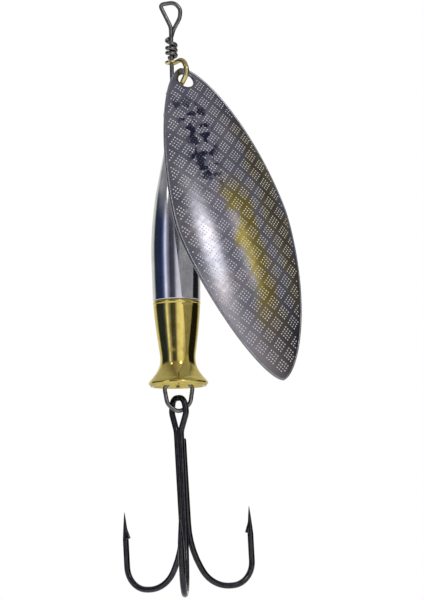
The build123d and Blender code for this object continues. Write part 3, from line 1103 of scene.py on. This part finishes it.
def make_double_hook(material):
    front = FRONT_AZIMUTH
    left = FRONT_AZIMUTH - HOOK_STEP
    front_strand = polar(front + SHANK_TWIST, STRAND_R, 0)
    left_strand = polar(left + SHANK_TWIST, STRAND_R, 0)
    neck_middle = (front_strand + left_strand) / 2
    eye_dir = (front_strand - left_strand).normalized()
    rise = Vector((0, 0, 1))
    corners = list(reversed(hook_corners(front)))
    corners += [
        neck_middle + eye_dir * HOOK_WIRE_R + rise * TREBLE_NECK_Z,
        eye_dir * TREBLE_EYE_SIDE_U + rise * TREBLE_EYE_SIDE_Z,
        eye_dir * TREBLE_EYE_TOP_U + rise * TREBLE_EYE_TOP_Z,
        eye_dir * -TREBLE_EYE_TOP_U + rise * TREBLE_EYE_TOP_Z,
        eye_dir * -TREBLE_EYE_SIDE_U + rise * TREBLE_EYE_SIDE_Z,
        neck_middle - eye_dir * HOOK_WIRE_R + rise * TREBLE_NECK_Z,
    ]
    corners += hook_corners(left)
    radii = list(reversed(BEND_RADII)) + TREBLE_EYE_RADII + BEND_RADII
    path = relaxed(resampled(rounded_path(corners, radii), 0.16), 4)
    verts, faces = skin(tube_rings(path, pointed(True), 24, barb_on()))
    obj = make_object("treble_double", hung(verts), faces, [material])
    return placed(recalculated(obj), "treble", "hook_black", "treble_double_hook")


def make_single_hook(material):
    right = FRONT_AZIMUTH + HOOK_STEP
    shank_r = STRAND_R + SHANK_GAP
    corners = [polar(right + SHANK_TWIST, shank_r, SINGLE_SHANK_TOP_Z)] + hook_corners(right, shank_r)
    path = relaxed(resampled(rounded_path(corners, BEND_RADII), 0.16), 4)
    verts, faces = skin(tube_rings(path, pointed(False), 24, barb_on()))
    obj = make_object("treble_single", hung(verts), faces, [material])
    return placed(recalculated(obj), "treble", "hook_black", "treble_single_hook")


def make_braze(material):
    """The solder that fills the grooves between the three shanks."""
    top = SINGLE_SHANK_TOP_Z - 0.15
    bottom = BEND_START_Z + 0.6
    path = []
    steps = 90
    for step in range(steps + 1):
        path.append(Vector((0, 0, top + (bottom - top) * step / steps)))

    def radius_at(done, left):
        end = min(1.0, min(done, left) / BRAZE_EASE)
        return BRAZE_CORE_R + BRAZE_SWELL * math.sqrt(end)

    def run(centre, out):
        return BRAZE_RIPPLE * noise.noise(Vector((out.x * 0.8, out.y * 0.8, centre.z * 0.45)))

    verts, faces = skin(tube_rings(path, radius_at, 36, run))
    obj = make_object("treble_braze", hung(verts), faces, [material])
    return placed(recalculated(obj), "treble", "hook_black")


# ---------------------------------------------------------------- studio


def degrees_stop(azimuth):
    """A place on the world's ramp for an azimuth from -Y, positive towards +X."""
    return (azimuth + 180) / 360


def show(nodes, links, output_type, reflected, seen):
    """The output: one shader where it is seen directly, the other in light and reflections."""
    sight = nodes.new("ShaderNodeLightPath")
    choose = nodes.new("ShaderNodeMixShader")
    output = nodes.new(output_type)
    links.new(sight.outputs["Is Camera Ray"], choose.inputs["Fac"])
    links.new(reflected.outputs[0], choose.inputs[1])
    links.new(seen.outputs[0], choose.inputs[2])
    links.new(choose.outputs[0], output.inputs["Surface"])


def make_world():
    """A soft studio: broad light and dark cards round the lure, and plain white behind it."""
    world = bpy.data.worlds.new("studio")
    bpy.context.scene.world = world
    world.use_nodes = True
    nodes = world.node_tree.nodes
    links = world.node_tree.links
    nodes.clear()

    def mix(share, first, second):
        return mixed_colours(nodes, links, share, first, second)

    def soft_step(value, low, high):
        made = nodes.new("ShaderNodeMapRange")
        made.interpolation_type = "SMOOTHSTEP"
        made.inputs["From Min"].default_value = low
        made.inputs["From Max"].default_value = high
        links.new(value, made.inputs["Value"])
        return made.outputs["Result"]

    coordinates = nodes.new("ShaderNodeTexCoord")
    direction = coordinates.outputs["Generated"]
    split = nodes.new("ShaderNodeSeparateXYZ")
    links.new(direction, split.inputs[0])
    back = nodes.new("ShaderNodeMath")
    back.operation = "MULTIPLY"
    back.inputs[1].default_value = -1
    links.new(split.outputs["Y"], back.inputs[0])
    azimuth = nodes.new("ShaderNodeMath")
    azimuth.operation = "ARCTAN2"
    links.new(split.outputs["X"], azimuth.inputs[0])
    links.new(back.outputs[0], azimuth.inputs[1])
    turn = nodes.new("ShaderNodeMapRange")
    turn.inputs["From Min"].default_value = -math.pi
    turn.inputs["From Max"].default_value = math.pi
    links.new(azimuth.outputs[0], turn.inputs["Value"])

    def cards(stops):
        ramp = nodes.new("ShaderNodeValToRGB")
        fill_ramp(ramp.color_ramp, [(degrees_stop(a), colour) for a, colour in stops])
        links.new(turn.outputs["Result"], ramp.inputs["Fac"])
        return ramp.outputs["Color"]

    level = cards(LEVEL_CARDS)
    upper = cards(UPPER_CARDS)
    colour = mix(soft_step(split.outputs["Z"], *UPPER_BAND), level, upper)
    colour = mix(soft_step(split.outputs["Z"], *UNDER_BAND), colour, UNDER_COLOUR)
    for patch_azimuth, patch_height, wide, soft, patch in PATCHES:
        rise = math.radians(patch_height)
        centre = polar(patch_azimuth, math.cos(rise), math.sin(rise))
        near = nodes.new("ShaderNodeVectorMath")
        near.operation = "DOT_PRODUCT"
        near.inputs[1].default_value = centre
        links.new(direction, near.inputs[0])
        outer = math.cos(math.radians(wide + soft))
        inner = math.cos(math.radians(wide))
        colour = mix(soft_step(near.outputs["Value"], outer, inner), colour, patch)

    reflected = nodes.new("ShaderNodeBackground")
    reflected.inputs["Strength"].default_value = 1.0
    links.new(colour, reflected.inputs["Color"])
    plain = nodes.new("ShaderNodeBackground")
    plain.inputs["Color"].default_value = (1, 1, 1, 1)
    show(nodes, links, "ShaderNodeOutputWorld", reflected, plain)


def make_floor():
    """A pale floor far below the lure, white to the camera and soft in what it reflects."""
    corners = []
    for x, y in ((-1, -1), (1, -1), (1, 1), (-1, 1)):
        corners.append(Vector((x * FLOOR_REACH, y * FLOOR_REACH, FLOOR_Z)))
    material = bpy.data.materials.new("floor_paper")
    material.use_nodes = True
    nodes = material.node_tree.nodes
    links = material.node_tree.links
    nodes.clear()
    paper = nodes.new("ShaderNodeBsdfDiffuse")
    paper.inputs["Color"].default_value = (0.85, 0.85, 0.84, 1)
    white = nodes.new("ShaderNodeEmission")
    white.inputs["Color"].default_value = (1, 1, 1, 1)
    show(nodes, links, "ShaderNodeOutputMaterial", paper, white)
    make_object("floor", corners, [(0, 1, 2, 3)], [material])


def make_light(name, azimuth, height, distance, size, power):
    """A square soft light that looks at the lure's middle."""
    target = Vector((0, 0, VIEW_CENTRE_Z)) * MM
    data = bpy.data.lights.new(name, "AREA")
    data.shape = "SQUARE"
    data.size = size * MM
    data.energy = power
    light = bpy.data.objects.new(name, data)
    rise = math.radians(height)
    light.location = target + polar(azimuth, distance * math.cos(rise), distance * math.sin(rise)) * MM
    light.rotation_euler = (target - light.location).to_track_quat("-Z", "Y").to_euler()
    light.visible_glossy = False
    bpy.context.scene.collection.objects.link(light)


def make_camera():
    """The view from the front, a little from below, with the lure's slight lean in the frame."""
    data = bpy.data.cameras.new("camera")
    data.sensor_width = SENSOR
    data.lens = SENSOR * CAMERA_DISTANCE / VIEW_HEIGHT
    data.clip_start = 10 * MM
    data.clip_end = 5.0
    camera = bpy.data.objects.new("camera", data)
    rise = math.radians(VIEW_ELEVATION)
    roll = math.radians(VIEW_ROLL)
    backwards = Vector((0, -math.cos(rise), math.sin(rise)))
    right_level = Vector((1, 0, 0))
    up_level = backwards.cross(right_level)
    right = right_level * math.cos(roll) - up_level * math.sin(roll)
    up = right_level * math.sin(roll) + up_level * math.cos(roll)
    target = Vector((0, 0, VIEW_CENTRE_Z)) + right * VIEW_SHIFT_RIGHT
    position = (target + backwards * CAMERA_DISTANCE) * MM
    turn = Matrix((right, up, backwards)).transposed().to_4x4()
    camera.matrix_world = Matrix.Translation(position) @ turn
    bpy.context.scene.collection.objects.link(camera)
    bpy.context.scene.camera = camera


# ---------------------------------------------------------------- the scene


def main():
    scene = bpy.context.scene
    scene.view_settings.view_transform = "Standard"
    scene.view_settings.look = "None"
    make_camera()
    make_world()
    make_floor()
    make_light("key", -35, 45, 420, 260, 0.8)
    make_light("fill", 50, 15, 420, 220, 0.25)

    plane = BladePlane()
    hook = hook_material()
    make_main_wire(wire_material())
    make_clevis(brass_material("clevis_brass", (0.90, 0.77, 0.36), (0.70, 0.55, 0.22), 0.14))
    blade_materials = [
        blade_face_material(plane),
        blade_dot_material(plane),
        bright_nickel_material("blade_rim", (0.42, 0.42, 0.45), 0.2),
        bright_nickel_material("blade_back", (0.55, 0.55, 0.58), 0.22),
    ]
    make_blade(plane, blade_materials)
    bead = brass_material("bead_brass", (0.86, 0.68, 0.30), (0.66, 0.48, 0.18), 0.12)
    make_bead("upper_bead_turned", "upper_bead", "upper_bead", UPPER_BEAD_R, bead)
    make_bead("lower_bead_turned", "lower_bead", "lower_bead", LOWER_BEAD_R, bead)
    make_body(body_material())
    make_bell(brass_material("bell_brass", (0.92, 0.76, 0.22), (0.78, 0.60, 0.14), 0.08))
    make_double_hook(hook)
    make_single_hook(hook)
    make_braze(braze_material())
    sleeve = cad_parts["tail_sleeve"]
    sleeve_brass = brass_material("sleeve_brass", (0.72, 0.58, 0.30), (0.5, 0.38, 0.18), 0.3)
    for material_slot in sleeve.material_slots:
        material_slot.material = sleeve_brass


main()
